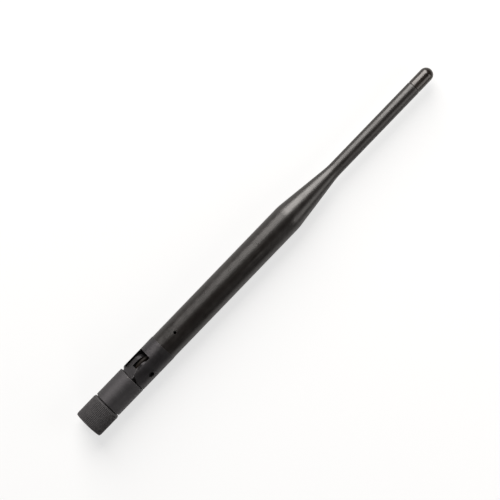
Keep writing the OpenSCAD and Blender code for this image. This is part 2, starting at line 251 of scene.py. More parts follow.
def turned(name, outline, sides=128, closed=False):
    """A turned solid: a ring is extruded and resized along its [radius, height] outline."""
    deselect_all()
    radius, height = outline[0]
    bpy.ops.mesh.primitive_circle_add(vertices=sides, radius=radius, location=(0, 0, height))
    piece = settle(bpy.context.object, name)
    bpy.ops.object.mode_set(mode="EDIT")
    bpy.ops.mesh.select_all(action="SELECT")
    stations = list(outline[1:]) + ([outline[0]] if closed else [])
    for new_radius, new_height in stations:
        bpy.ops.mesh.extrude_region_move(TRANSFORM_OT_translate={"value": (0, 0, new_height - height)})
        if new_radius < 1e-9:
            bpy.ops.mesh.merge(type="CENTER")
            break
        share = new_radius / radius
        bpy.ops.transform.resize(value=(share, share, 1), center_override=(0, 0, new_height))
        radius, height = new_radius, new_height
    bpy.ops.mesh.select_all(action="SELECT")
    bpy.ops.mesh.remove_doubles(threshold=1e-7)
    bpy.ops.mesh.normals_make_consistent(inside=False)
    bpy.ops.object.mode_set(mode="OBJECT")
    return piece


def close_end(piece, height):
    """Fills the open ring of a turned piece at that height."""
    activate(piece)
    bpy.ops.object.mode_set(mode="EDIT")
    bpy.ops.mesh.select_all(action="DESELECT")
    bpy.ops.object.mode_set(mode="OBJECT")
    for v in piece.data.vertices:
        v.select = abs(v.co.z - height) < 1e-7
    bpy.ops.object.mode_set(mode="EDIT")
    bpy.ops.mesh.edge_face_add()
    bpy.ops.mesh.select_all(action="SELECT")
    bpy.ops.mesh.normals_make_consistent(inside=False)
    bpy.ops.object.mode_set(mode="OBJECT")
    return piece


def block(low, high, name="block"):
    """A box between two corners."""
    low, high = Vector(low), Vector(high)
    deselect_all()
    bpy.ops.mesh.primitive_cube_add(size=1, location=(low + high) / 2, scale=high - low)
    return settle(bpy.context.object, name)


def rod(radius, start, end, sides=64, end_radius=None, name="rod"):
    """A round bar, or a cone where the end's radius differs."""
    start, end = Vector(start), Vector(end)
    turn = (end - start).to_track_quat("Z", "Y").to_euler()
    deselect_all()
    bpy.ops.mesh.primitive_cone_add(
        vertices=sides, radius1=radius, radius2=radius if end_radius is None else end_radius,
        depth=(end - start).length, location=(start + end) / 2, rotation=turn)
    return settle(bpy.context.object, name)


def combine(piece, other, operation="DIFFERENCE"):
    """Cuts another solid out of a piece, joins it on or keeps what they share."""
    activate(piece)
    step = piece.modifiers.new("shape", "BOOLEAN")
    step.operation = operation
    step.solver = "EXACT"
    step.object = other
    bpy.ops.object.modifier_apply(modifier=step.name)
    bpy.data.objects.remove(other)
    return piece


def soften(piece, width, segments=2, angle=34):
    """Rounds the edges sharper than an angle."""
    activate(piece)
    step = piece.modifiers.new("edges", "BEVEL")
    step.width = width
    step.segments = segments
    step.limit_method = "ANGLE"
    step.angle_limit = math.radians(angle)
    step.miter_outer = "MITER_ARC"
    bpy.ops.object.modifier_apply(modifier=step.name)
    return piece


def finish_piece(piece, body, material, slot, *nodes):
    """Smooths, paints and seats a piece, and puts it in the place of its CAD nodes."""
    activate(piece)
    bpy.ops.object.shade_smooth_by_angle(angle=SMOOTH_ANGLE)
    step = piece.modifiers.new("shading", "WEIGHTED_NORMAL")
    step.keep_sharp = True
    bpy.ops.object.modifier_apply(modifier=step.name)
    piece.data.materials.clear()
    piece.data.materials.append(material)
    if body:
        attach(piece, body)
    if nodes:
        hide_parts(*nodes)
    return piece


def paint_node(node, material):
    """Gives a CAD node its finish."""
    piece = frame["nodes"][node]
    piece.data.materials.clear()
    piece.data.materials.append(material)


# ---- shader groups ----

def add_node(tree, kind, inputs=(), **settings):
    """A shader node with its settings and its inputs' values or links, by name or number."""
    made = tree.nodes.new(kind)
    for key, value in settings.items():
        setattr(made, key, value)
    for key, value in dict(inputs).items():
        if isinstance(value, bpy.types.NodeSocket):
            tree.links.new(value, made.inputs[key])
        else:
            made.inputs[key].default_value = value
    return made


def math_node(tree, operation, a, b=0.0, clamp=False):
    return add_node(tree, "ShaderNodeMath", {0: a, 1: b}, operation=operation, use_clamp=clamp).outputs[0]


def spread(tree, value, low, high, new_low, new_high):
    """A value's range stretched to a new one and held inside it."""
    return add_node(tree, "ShaderNodeMapRange", {
        "Value": value, "From Min": low, "From Max": high, "To Min": new_low, "To Max": new_high,
    }).outputs["Result"]


def mix_colour(tree, share, a, b):
    made = tree.nodes.new("ShaderNodeMix")
    made.data_type = "RGBA"
    factor, first, second = made.inputs[0], made.inputs[6], made.inputs[7]
    for socket, value in ((factor, share), (first, a), (second, b)):
        if isinstance(value, bpy.types.NodeSocket):
            tree.links.new(value, socket)
        else:
            socket.default_value = value if isinstance(value, float) else (*value[:3], 1.0)
    return made.outputs[2]


def new_group(name, inputs, outputs):
    """An empty shader group with number sockets: {input: default} and output names."""
    group = bpy.data.node_groups.new(name, "ShaderNodeTree")
    for socket, default in inputs.items():
        made = group.interface.new_socket(socket, in_out="INPUT", socket_type="NodeSocketFloat")
        made.default_value = default
    for socket in outputs:
        group.interface.new_socket(socket, in_out="OUTPUT", socket_type="NodeSocketFloat")
    return group, group.nodes.new("NodeGroupInput"), group.nodes.new("NodeGroupOutput")


def stretched_place(tree, factors):
    """Object coordinates multiplied along X, Y and Z."""
    place = add_node(tree, "ShaderNodeTexCoord").outputs["Object"]
    return add_node(tree, "ShaderNodeMapping", {"Vector": place, "Scale": factors}).outputs["Vector"]


def moulding_grain():
    """Fine spark-eroded texture of a moulding, and the slow unevenness of its shade."""
    group, given, result = new_group(
        "moulding_grain", {"Grains per metre": 5000.0, "Mottle size": 240.0}, ("Height", "Mottle"))
    place = add_node(group, "ShaderNodeTexCoord").outputs["Object"]
    grain = add_node(group, "ShaderNodeTexNoise", {
        "Vector": place, "Scale": given.outputs["Grains per metre"], "Detail": 3.0, "Roughness": 0.6})
    mottle = add_node(group, "ShaderNodeTexNoise", {
        "Vector": place, "Scale": given.outputs["Mottle size"], "Detail": 4.0, "Roughness": 0.55})
    group.links.new(grain.outputs[0], result.inputs["Height"])
    group.links.new(mottle.outputs[0], result.inputs["Mottle"])
    return group


def edge_rub_and_highlight():
    """Mask of the outer edges, broken up by noise: partly worn by handling, partly a painted highlight along the
    rounded rims.
    """
    group, given, result = new_group(
        "edge_rub_and_highlight", {"Width": 0.25 * MM, "Strength": 6.0, "Breakup": 900.0}, ("Mask",))
    surface = add_node(group, "ShaderNodeNewGeometry").outputs["Normal"]
    rounded_normal = add_node(
        group, "ShaderNodeBevel", {"Radius": given.outputs["Width"]}, samples=6).outputs[0]
    likeness = add_node(
        group, "ShaderNodeVectorMath", {0: surface, 1: rounded_normal}, operation="DOT_PRODUCT")
    turn = math_node(group, "SUBTRACT", 1.0, likeness.outputs["Value"])
    edge = math_node(group, "MULTIPLY", turn, given.outputs["Strength"], clamp=True)
    place = add_node(group, "ShaderNodeTexCoord").outputs["Object"]
    noise = add_node(group, "ShaderNodeTexNoise", {
        "Vector": place, "Scale": given.outputs["Breakup"], "Detail": 3.0}).outputs[0]
    broken = spread(group, noise, 0.36, 0.62, 0.0, 1.0)
    group.links.new(math_node(group, "MULTIPLY", edge, broken), result.inputs["Mask"])
    return group


def dust_specks():
    """Scattered specks of pale dust, larger and fewer as the cell size grows."""
    group, given, result = new_group(
        "dust_specks", {"Cells per metre": 700.0, "Size": 0.09, "Cover": 0.12}, ("Mask",))
    place = add_node(group, "ShaderNodeTexCoord").outputs["Object"]
    cells = add_node(group, "ShaderNodeTexVoronoi", {
        "Vector": place, "Scale": given.outputs["Cells per metre"]})
    inside = math_node(group, "LESS_THAN", cells.outputs["Distance"], given.outputs["Size"])
    chance = add_node(group, "ShaderNodeSeparateColor", {"Color": cells.outputs["Color"]}).outputs[0]
    chosen = math_node(group, "LESS_THAN", chance, given.outputs["Cover"])
    group.links.new(math_node(group, "MULTIPLY", inside, chosen), result.inputs["Mask"])
    return group


def handling_scuffs():
    """Faint lines along the antenna where fingers and neighbours have polished or dulled it."""
    group, given, result = new_group("handling_scuffs", {"Fineness": 1.0}, ("Streaks",))
    lines = add_node(group, "ShaderNodeTexNoise", {
        "Vector": stretched_place(group, (900.0, 900.0, 45.0)),
        "Scale": given.outputs["Fineness"], "Detail": 5.0, "Roughness": 0.65})
    patches = add_node(group, "ShaderNodeTexNoise", {
        "Vector": stretched_place(group, (130.0, 130.0, 60.0)), "Scale": 1.0, "Detail": 3.0})
    strength = spread(group, patches.outputs[0], 0.42, 0.68, 0.0, 1.0)
    streak = spread(group, lines.outputs[0], 0.50, 0.72, 0.0, 1.0)
    group.links.new(math_node(group, "MULTIPLY", streak, strength), result.inputs["Streaks"])
    return group


def turning_lines():
    """Concentric marks of a lathe tool, along Z."""
    group, given, result = new_group("turning_lines", {"Fineness": 1.0}, ("Height",))
    lines = add_node(group, "ShaderNodeTexNoise", {
        "Vector": stretched_place(group, (60.0, 60.0, 9000.0)),
        "Scale": given.outputs["Fineness"], "Detail": 3.0})
    group.links.new(lines.outputs[0], result.inputs["Height"])
    return group


GROUPS = {}


def use_group(tree, name, inputs=()):
    """Places a shared shader group in a material."""
    if name not in GROUPS:
        GROUPS[name] = {"grain": moulding_grain, "rub_and_highlight": edge_rub_and_highlight, "dust": dust_specks,
                        "scuffs": handling_scuffs, "lines": turning_lines}[name]()
    made = tree.nodes.new("ShaderNodeGroup")
    made.node_tree = GROUPS[name]
    for key, value in dict(inputs).items():
        made.inputs[key].default_value = value
    return made


# ---- materials ----

def new_material(name, **constants):
    """A material with its Principled shader, and that shader's constant values by name."""
    material = bpy.data.materials.new(name)
    material.use_nodes = True
    shader = material.node_tree.nodes["Principled BSDF"]
    for key, value in constants.items():
        shader.inputs[key.replace("_", " ")].default_value = value
    return material, material.node_tree, shader


def bump(tree, shader, height, strength, distance):
    made = add_node(tree, "ShaderNodeBump", {"Height": height, "Strength": strength, "Distance": distance})
    tree.links.new(made.outputs[0], shader.inputs["Normal"])


def black_plastic(name, colour, wear_and_highlight, roughness, grain=5000.0, grain_depth=0.02 * MM, rub_and_highlight=0.35,
                  dust=0.02, dulled=None, sheen=(1.0, 0.95, 1.0)):
    """Black moulding: grain, uneven shade, worn edges that also carry a painted highlight, scuffs and dust."""
    material, tree, shader = new_material(name, Specular_Tint=(*sheen, 1.0))
    grained = use_group(tree, "grain", {"Grains per metre": grain})
    streaks = use_group(tree, "scuffs").outputs["Streaks"]
    rubbed_and_lit = use_group(tree, "rub_and_highlight").outputs["Mask"]
    specks = use_group(tree, "dust", {"Cover": dust}).outputs["Mask"]

    mottle = spread(tree, grained.outputs["Mottle"], 0.3, 0.7, 0.0, 1.0)
    deep = tuple(0.82 * c for c in colour)
    pale = tuple(1.18 * c for c in colour)
    shade = mix_colour(tree, mottle, deep, pale)
    shade = mix_colour(tree, math_node(tree, "MULTIPLY", streaks, 0.05), shade, wear_and_highlight)
    # Paler edges: partly worn by handling, partly a painted highlight along the rims.
    shade = mix_colour(tree, math_node(tree, "MULTIPLY", rubbed_and_lit, rub_and_highlight), shade, wear_and_highlight)
    shade = mix_colour(tree, math_node(tree, "MULTIPLY", specks, 0.3), shade, DUST)
    tree.links.new(shade, shader.inputs["Base Color"])

    rough = spread(tree, grained.outputs["Mottle"], 0.3, 0.7, roughness - 0.04, roughness + 0.04)
    if dulled:
        height = add_node(tree, "ShaderNodeSeparateXYZ", {
            0: add_node(tree, "ShaderNodeTexCoord").outputs["Object"]}).outputs["Z"]
        gain = spread(tree, height, dulled["from"], dulled["to"], 0.0, dulled["gain"])
        rough = math_node(tree, "ADD", rough, gain)
    rough = math_node(tree, "ADD", rough, math_node(tree, "MULTIPLY", streaks, 0.10))
    rough = math_node(tree, "ADD", rough, math_node(tree, "MULTIPLY", specks, 0.3), clamp=True)
    tree.links.new(rough, shader.inputs["Roughness"])
    bump(tree, shader, grained.outputs["Height"], 0.6, grain_depth)
    return material


def turned_metal(name, colour, roughness, tarnish=0.12):
    """Machined or drawn metal with fine turning lines and a breath of tarnish."""
    material, tree, shader = new_material(name, Metallic=1.0)
    grained = use_group(tree, "grain", {"Grains per metre": 3000.0, "Mottle size": 600.0})
    lines = use_group(tree, "lines").outputs["Height"]
    dull = tuple(0.55 * c for c in colour)
    share = spread(tree, grained.outputs["Mottle"], 0.35, 0.75, 0.0, tarnish * 3)
    tree.links.new(mix_colour(tree, share, colour, dull), shader.inputs["Base Color"])
    rough = spread(tree, grained.outputs["Mottle"], 0.3, 0.7, roughness, roughness + tarnish)
    tree.links.new(rough, shader.inputs["Roughness"])
    bump(tree, shader, lines, 0.5, 0.01 * MM)
    return material


def pale_plastic(name, colour, roughness, subsurface=0.0, grain_depth=0.01 * MM, grain=4000.0):
    """Natural, uncoloured plastic or foam, slightly uneven."""
    material, tree, shader = new_material(name, Subsurface_Weight=subsurface, Subsurface_Scale=0.5 * MM)
    grained = use_group(tree, "grain", {"Grains per metre": grain, "Mottle size": 500.0})
    share = spread(tree, grained.outputs["Mottle"], 0.3, 0.7, 0.0, 1.0)
    deep = tuple(0.86 * c for c in colour)
    tree.links.new(mix_colour(tree, share, deep, colour), shader.inputs["Base Color"])
    rough = spread(tree, grained.outputs["Mottle"], 0.3, 0.7, roughness - 0.05, roughness + 0.05)
    tree.links.new(rough, shader.inputs["Roughness"])
    bump(tree, shader, grained.outputs["Height"], 0.5, grain_depth)
    return material


def cable_jacket(colour):
    """Extruded fluoropolymer jacket: smooth, with the faint lay of the braid showing through. Its colour is darker
    than the cable's own brown, painting the shade of the channel it lies in.
    """
    material, tree, shader = new_material("cable_jacket", Specular_IOR_Level=0.15)
    braid = add_node(tree, "ShaderNodeTexWave", {
        "Vector": add_node(tree, "ShaderNodeTexCoord").outputs["Object"], "Scale": 900.0, "Distortion": 2.0,
        "Detail": 1.0}, wave_type="BANDS", bands_direction="DIAGONAL").outputs["Fac"]
    grained = use_group(tree, "grain", {"Mottle size": 700.0})
    mottle = spread(tree, grained.outputs["Mottle"], 0.3, 0.7, 0.0, 1.0)
    deep = tuple(0.55 * c for c in colour)
    tree.links.new(mix_colour(tree, mottle, deep, colour), shader.inputs["Base Color"])
    tree.links.new(spread(tree, mottle, 0.0, 1.0, 0.55, 0.65), shader.inputs["Roughness"])
    bump(tree, shader, braid, 0.25, 0.01 * MM)
    return material


def woven_braid():
    """Tinned copper braid: two crossing sets of fine wires."""
    material, tree, shader = new_material("tinned_braid", Metallic=1.0)
    place = add_node(tree, "ShaderNodeTexCoord").outputs["Object"]
    sets = []
    for side in (1.0, -1.0):
        laid = add_node(tree, "ShaderNodeMapping", {"Vector": place, "Scale": (side, 1.0, 1.0)})
        wires = add_node(
            tree, "ShaderNodeTexWave", {"Vector": laid.outputs[0], "Scale": 1800.0},
            wave_type="BANDS", bands_direction="DIAGONAL")
        sets.append(wires.outputs["Fac"])
    weave = math_node(tree, "MAXIMUM", sets[0], sets[1])
    tree.links.new(mix_colour(tree, weave, BRAID_DARK, BRAID_PALE), shader.inputs["Base Color"])
    tree.links.new(spread(tree, weave, 0.0, 1.0, 0.5, 0.28), shader.inputs["Roughness"])
    bump(tree, shader, weave, 0.8, 0.03 * MM)
    return material


MATERIALS = {}


def make_materials(finishes):
    """All finishes, by the record's slot names."""
    wear_and_highlight = tuple(finishes.wear_and_highlight)
    MATERIALS.update({
        "grip_plastic": black_plastic(
            "grip_plastic", finishes.grip, wear_and_highlight, 0.75, grain=6000.0, rub_and_highlight=0.30, dust=0.05),
        # The base's strong edge mix also paints the bright highlight line along its top rim.
        "base_plastic": black_plastic(
            "base_plastic", finishes.base, wear_and_highlight, 0.53, grain=1600.0, grain_depth=0.055 * MM,
            rub_and_highlight=0.60, dust=0.02),
        "hinge_plastic": black_plastic(
            "hinge_plastic", finishes.hinge, wear_and_highlight, 0.39, grain=1600.0, grain_depth=0.055 * MM,
            rub_and_highlight=0.18, dust=0.03),
        "radome_plastic": black_plastic(
            "radome_plastic", finishes.radome, wear_and_highlight, 0.30, grain=1800.0, grain_depth=0.012 * MM, rub_and_highlight=0.12,
            dust=0.015, dulled={"from": 0.095, "to": 0.13, "gain": 0.07}, sheen=(1.0, 0.98, 0.97)),
        "cap_plastic": black_plastic(
            "cap_plastic", finishes.cap, wear_and_highlight, 0.26, grain=2500.0, grain_depth=0.004 * MM,
            rub_and_highlight=0.1, dust=0.01, sheen=(1.0, 0.96, 0.94)),
        "gold_plate": turned_metal("gold_plate", (0.83, 0.62, 0.25), 0.22),
        "contact_gold": turned_metal("contact_gold", (0.86, 0.66, 0.28), 0.18, 0.06),
        "nickel_plate": turned_metal("nickel_plate", (0.70, 0.67, 0.60), 0.25),
        "spring_bronze": turned_metal("spring_bronze", (0.66, 0.44, 0.24), 0.30),
        "spring_steel": turned_metal("spring_steel", (0.55, 0.55, 0.56), 0.30),
        "brass_tube": turned_metal("brass_tube", (0.71, 0.53, 0.25), 0.28, 0.2),
        "brass_wire": turned_metal("brass_wire", (0.70, 0.50, 0.22), 0.24, 0.2),
        "solder": turned_metal("solder", (0.62, 0.62, 0.63), 0.20, 0.25),
        "tinned_braid": woven_braid(),
        "ptfe": pale_plastic("ptfe", (0.90, 0.89, 0.86), 0.45, subsurface=0.3),
        "natural_nylon": pale_plastic("natural_nylon", (0.80, 0.77, 0.68), 0.5, subsurface=0.2),
        "spacer_foam": pale_plastic(
            "spacer_foam", (0.75, 0.75, 0.74), 0.9, grain_depth=0.2 * MM, grain=2500.0),
        "gasket_silicone": pale_plastic("gasket_silicone", (0.55, 0.10, 0.06), 0.55),
        "shrink_black": black_plastic("shrink_black", (0.03, 0.03, 0.03), wear_and_highlight, 0.45),
        # Jacket colour darkened to paint the channel's shade on the cable.
        "cable_jacket": cable_jacket(tuple(finishes.jacket)),
    })


# ---- pieces ----

def box_sizes(node):
    """Radius, lowest and highest place of a round node."""
    return reach(node), foot(node), top(node)


class ANTENNA_OT_finishes(bpy.types.Operator):
    """Make the finishes and put them on the plug's and the radiator's pieces"""
    bl_idname = "antenna.finishes"
    bl_label = "Finishes"

    def execute(self, context):
        make_materials(context.scene.antenna_finishes)
        for part in frame["record"]["subparts"]:
            slot = part["material_slot"]
            paint_node(part["node"], MATERIALS[slot])
        return {"FINISHED"}


class ANTENNA_OT_grip_sleeve(bpy.types.Operator):
    """Ribbed plastic sleeve that turns the coupling nut"""
    bl_idname = "antenna.grip_sleeve"
    bl_label = "Grip sleeve"

    def execute(self, context):
        sizes = context.scene.antenna_grip
        radius, low, high = box_sizes("grip_sleeve")
        seat = reach("coupling_nut") + 0.02 * MM
        seat_top = top("coupling_nut")
        back_bore = reach("connector_shell") + 0.15 * MM
        lip = sizes.lip
        across_rib = 8
        outline = rounded([
            (seat, low), (radius - sizes.rib_depth * 0.6, low), (radius - sizes.rib_depth * 0.6, low + lip),
            (radius, low + lip * 1.25), (radius, high - lip * 1.25),
            (radius - sizes.rib_depth * 0.6, high - lip), (radius - sizes.rib_depth * 0.6, high),
            (back_bore, high), (back_bore, seat_top), (seat, seat_top)],
            {0: 0.1 * MM, 1: 0.2 * MM, 3: 0.12 * MM, 4: 0.12 * MM, 6: 0.25 * MM, 7: 0.1 * MM}, steps=2)
        piece = turned("grip_sleeve_ribbed", outline, sides=sizes.ribs * across_rib, closed=True)
        self.sink_grooves(piece, sizes, radius, (low + lip * 1.1, high - lip * 1.1), across_rib)
        finish_piece(piece, "nut", MATERIALS["grip_plastic"], "grip_plastic", "grip_sleeve")
        return {"FINISHED"}

    def sink_grooves(self, piece, sizes, radius, stretch, across_rib):
        """Pulls the lines between the ribs towards the axis, the middle of a groove furthest."""
        depths = {0: 1.0, 1: 0.80, across_rib - 1: 0.80, 2: 0.22, across_rib - 2: 0.22}
        step = 2 * math.pi / (sizes.ribs * across_rib)
        for place, share in depths.items():
            activate(piece)
            bpy.ops.object.mode_set(mode="EDIT")
            bpy.ops.mesh.select_all(action="DESELECT")
            bpy.ops.object.mode_set(mode="OBJECT")
            for v in piece.data.vertices:
                outside = math.hypot(v.co.x, v.co.y) > radius - 0.13 * MM
                line = round(math.atan2(v.co.x, v.co.y) / step) % across_rib
                v.select = outside and stretch[0] < v.co.z < stretch[1] and line == place
            bpy.ops.object.mode_set(mode="EDIT")
            depth = 1 - sizes.rib_depth * share / radius
            bpy.ops.transform.resize(value=(depth, depth, 1), center_override=(0, 0, 0))
            bpy.ops.object.mode_set(mode="OBJECT")


class ANTENNA_OT_coupling_nut(bpy.types.Operator):
    """Thread inside the coupling nut"""
    bl_idname = "antenna.coupling_nut"
    bl_label = "Coupling nut thread"

    def execute(self, context):
        pitch = context.scene.antenna_grip.thread_pitch
        minor = frame["record"]["mounts"][0]["dims"]["r_mm"] * MM
        low = foot("coupling_nut")
        deselect_all()
        bpy.ops.mesh.primitive_circle_add(
            vertices=4, radius=pitch * 0.42, location=(minor + pitch * 0.30, 0, low + pitch * 0.8),
            rotation=(math.radians(90), 0, 0))
        piece = settle(bpy.context.object, "nut_thread_crests")
        turn = piece.modifiers.new("helix", "SCREW")
        turn.axis = "Z"
        turn.screw_offset = pitch
        turn.iterations = 3
        turn.steps = turn.render_steps = 48
        activate(piece)
        bpy.ops.object.modifier_apply(modifier=turn.name)
        bpy.ops.object.mode_set(mode="EDIT")
        bpy.ops.mesh.select_all(action="SELECT")
        bpy.ops.mesh.remove_doubles(threshold=1e-7)
        bpy.ops.mesh.select_all(action="DESELECT")
        bpy.ops.mesh.select_non_manifold()
        bpy.ops.mesh.edge_face_add()
        bpy.ops.mesh.select_all(action="SELECT")
        bpy.ops.mesh.normals_make_consistent(inside=False)
        bpy.ops.object.mode_set(mode="OBJECT")
        finish_piece(piece, "nut", MATERIALS["nickel_plate"], "nickel_plate")
        return {"FINISHED"}


class ANTENNA_OT_base_housing(bpy.types.Operator):
    """Smooth lower cylinder that swivels on the plug"""
    bl_idname = "antenna.base_housing"
    bl_label = "Base housing"

    def execute(self, context):
        sizes = context.scene.antenna_hinge
        radius, low, high = box_sizes("base_housing")
        stem = reach("swivel_clip") - 1.62 * MM
        outline = rounded([
            (stem, low - sizes.bearing), (radius - MM, low - sizes.bearing), (radius - MM, low),
            (radius, low), (radius, high), (sizes.bowl, high),
            (sizes.bowl, low + sizes.floor), (stem, low + sizes.floor)],
            {3: sizes.rim, 4: sizes.rim, 5: sizes.edge * 0.6}, steps=4)
        piece = turned("base_housing_shell", outline, closed=True)
        finish_piece(piece, "base", MATERIALS["base_plastic"], "base_plastic", "base_housing")
        return {"FINISHED"}


class ANTENNA_OT_hinge_tongue(bpy.types.Operator):
    """Forked tongue with its cable channel and two snap pins"""
    bl_idname = "antenna.hinge_tongue"
    bl_label = "Hinge tongue"

    def execute(self, context):
        sizes = context.scene.antenna_hinge
        half, around, y, z = sizes.tongue, sizes.tongue_round, PIVOT.y, PIVOT.z
        foot_low, foot_top = foot("hinge_tongue"), top("base_housing") - 0.25 * MM
        pin_end = reach("hinge_tongue")

        neck = sizes.neck
        piece = block((-half, -around, foot_top + neck), (half, around, z))
        combine(piece, rod(around, (-half, y, z), (half, y, z), sides=96), "UNION")
        piece = settle(piece, "hinge_tongue_fork")
        inset_low = (neck - half, neck - around, foot_top - 0.5 * MM)
        combine(piece, block(inset_low, (half - neck, around - neck, z - neck)), "UNION")
        floor_z = z - sizes.channel_depth
        channel = sizes.channel
        combine(piece, block((-channel, -2 * around, floor_z), (channel, channel, z + 2 * around)))
        combine(piece, rod(sizes.bore, (0, 0, foot_top - 2 * MM), (0, 0, z), sides=48))
        soften(piece, sizes.edge)
        combine(piece, rod(sizes.bowl - 0.02 * MM, (0, 0, foot_low), (0, 0, foot_top), sides=96), "UNION")
        ferrule_room = sizes.bore + 0.9 * MM
        combine(piece, rod(ferrule_room, (0, 0, foot_low - MM), (0, 0, foot_top - 1.2 * MM), sides=48))
        combine(piece, rod(sizes.bore, (0, 0, foot_low), (0, 0, z - 4 * MM), sides=48))
        for side in (-1, 1):
            inner, outer = Vector((side * (half - 0.3 * MM), y, z)), Vector((side * pin_end, y, z))
            pin = rod(sizes.pin, inner, outer, sides=48)
            soften(pin, 0.15 * MM)
            combine(piece, pin, "UNION")
        finish_piece(piece, "base", MATERIALS["hinge_plastic"], "hinge_plastic", "hinge_tongue")
        return {"FINISHED"}


class ANTENNA_OT_feed_cable(bpy.types.Operator):
    """Brown coaxial cable that bows out beside the hinge's axis"""
    bl_idname = "antenna.feed_cable"
    bl_label = "Feed cable"

    def execute(self, context):
        low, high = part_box("feed_cable")
        radius = high.x
        bow = -low.y - radius
        reach_up = 6.5 * MM
        middle = PIVOT.z + 0.5 * MM
        swing = 2 * math.atan2(bow, 2 * reach_up)
        bend = reach_up / 2 / math.sin(swing)
        quarter = [(-bend + x, h) for x, h in arc((0, 0), bend, 0, math.degrees(swing), 8)]
        half = quarter + [(-bow - x, reach_up - h) for x, h in reversed(quarter[:-1])]
        route = [(0, low.z)] + [(x, middle - reach_up + h) for x, h in half]
        route += [(x, middle + reach_up - h) for x, h in reversed(half[:-1])] + [(0, high.z)]
        piece = self.tube("feed_cable_jacket", route, radius)
        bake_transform(piece)
        finish_piece(piece, None, MATERIALS["cable_jacket"], "cable_jacket", "feed_cable")
        return {"FINISHED"}

    def tube(self, name, route, radius, sides=24):
        """A ring extruded from point to point of the [y, z] route and turned square to it."""
        deselect_all()
        bpy.ops.mesh.primitive_circle_add(
            vertices=sides, radius=radius, fill_type="NGON", location=(0, route[0][0], route[0][1]))
        piece = settle(bpy.context.object, name)
        bpy.ops.object.mode_set(mode="EDIT")
        bpy.ops.mesh.select_all(action="SELECT")
        slope = 0.0
        for i, (y, z) in enumerate(route[1:], 1):
            before = route[i - 1]
            after = route[min(i + 1, len(route) - 1)]
            bpy.ops.mesh.extrude_region_move(
                TRANSFORM_OT_translate={"value": (0, y - before[0], z - before[1])})
            new_slope = math.atan2(after[0] - before[0], after[1] - before[1])
            bpy.ops.transform.rotate(
                value=new_slope - slope, orient_axis="X", orient_type="GLOBAL", center_override=(0, y, z))
            slope = new_slope
        bpy.ops.mesh.select_all(action="SELECT")
        bpy.ops.mesh.normals_make_consistent(inside=False)
        bpy.ops.object.mode_set(mode="OBJECT")
        return piece


def cut_vents(piece, mast, radius):
    """Two round holes from the bore outwards, opposite each other."""
    height = Vector((0, 0, mast.vent_height))
    outwards = Vector((math.sin(mast.vent_turn), -math.cos(mast.vent_turn), 0)) * 10 * MM
    for side in (1, -1):
        combine(piece, rod(radius, height + side * outwards * 0.1, height + side * outwards, sides=40))


class ANTENNA_OT_hinge_barrel(bpy.types.Operator):
    """Lower end of the mast: two cheeks round a slot, and the spigot that carries the radome"""
    bl_idname = "antenna.hinge_barrel"
    bl_label = "Hinge barrel"

    def execute(self, context):
        sizes = context.scene.antenna_hinge
        mast = context.scene.antenna_mast
        radius, low, high = box_sizes("hinge_barrel")
        seam = foot("radome")
        y, z = PIVOT.y, PIVOT.z
        foot_round = z - low
        spigot = reach("radome") - mast.wall - 0.02 * MM
        far = 2 * radius

        ring = sizes.pin + 0.3 * MM
        piece = turned("hinge_barrel_cheeks", rounded([
            (sizes.bore, low), (radius, low), (radius, z - ring), (radius, z + ring),
            (radius, z + sizes.slot_top + 0.4 * MM), (radius, seam), (spigot, seam),
            (spigot, high), (sizes.bore + 2.7 * MM, high), (sizes.bore + 2.7 * MM, seam + 3 * MM),
            (sizes.bore, seam + 3 * MM)], {5: mast.seam}, steps=3), sides=144, closed=True)
        corner = block((-far, -far, low - far), (far, y, z))
        combine(corner, rod(foot_round, (-1.2 * far, y, z), (1.2 * far, y, z), sides=144))
        combine(piece, corner)
        combine(piece, block((-sizes.slot, -far, low - MM), (sizes.slot, sizes.web, z + sizes.slot_top)))
        for side in (-1, 1):
            combine(piece, rod(sizes.pin + 0.05 * MM, (0, y, z), (side * far, y, z), sides=48))
        soften(piece, sizes.edge)
        slot_end = z + sizes.slot_top
        combine(piece, rod(2.7 * MM, (0, 0, slot_end - 0.01 * MM), (0, 0, slot_end + 3.4 * MM),
                           sides=48, end_radius=sizes.bore))
        cut_vents(piece, mast, mast.vent - 0.05 * MM)
        finish_piece(piece, "mast", MATERIALS["hinge_plastic"], "hinge_plastic", "hinge_barrel")
        return {"FINISHED"}


class ANTENNA_OT_radome(bpy.types.Operator):
    """Long tapered cover with its two vent holes"""
    bl_idname = "antenna.radome"
    bl_label = "Radome"

    def execute(self, context):
        sizes = context.scene.antenna_mast
        radius, low, high = box_sizes("radome")
        angle = math.degrees(sizes.taper_angle)
        slope = math.tan(sizes.taper_angle)
        taper_end = sizes.taper_start + (radius - sizes.whip) / slope
        shoulder_run = sizes.shoulder * math.tan(sizes.taper_angle / 2)
        waist_run = sizes.waist * math.tan(sizes.taper_angle / 2)
        bore, whip_bore = radius - sizes.wall, sizes.whip - sizes.wall
        ring = sizes.vent + 0.15 * MM
        outline = (
            [(bore, low), (radius - sizes.seam, low)]
            + arc((radius - sizes.seam, low + sizes.seam), sizes.seam, -90, 0, 4)[1:]
            + [(radius, sizes.vent_height - ring), (radius, sizes.vent_height + ring)]
            + arc((radius - sizes.shoulder, sizes.taper_start - shoulder_run), sizes.shoulder, 0, angle, 10)
            + arc((sizes.whip + sizes.waist, taper_end + waist_run), sizes.waist, 180 + angle, 180, 10)
            + [(sizes.whip, high - MM)]
            + self.lip(sizes, high)
            + [(whip_bore, high), (whip_bore, taper_end - MM), (bore, sizes.taper_start - 1.2 * MM)]
            + [(bore, sizes.vent_height + ring), (bore, sizes.vent_height - ring)])
        piece = turned("radome_cover", outline, sides=144, closed=True)
        cut_vents(piece, sizes, sizes.vent)
        finish_piece(piece, "mast", MATERIALS["radome_plastic"], "radome_plastic", "radome")
        return {"FINISHED"}

    def lip(self, sizes, high):
        """Rounded upper end, falling into the groove under the tip cap."""
        return arc((sizes.whip - sizes.groove, high - 2 * sizes.groove), sizes.groove, 0, 75, 4) + [
            (sizes.whip - sizes.groove, high)]


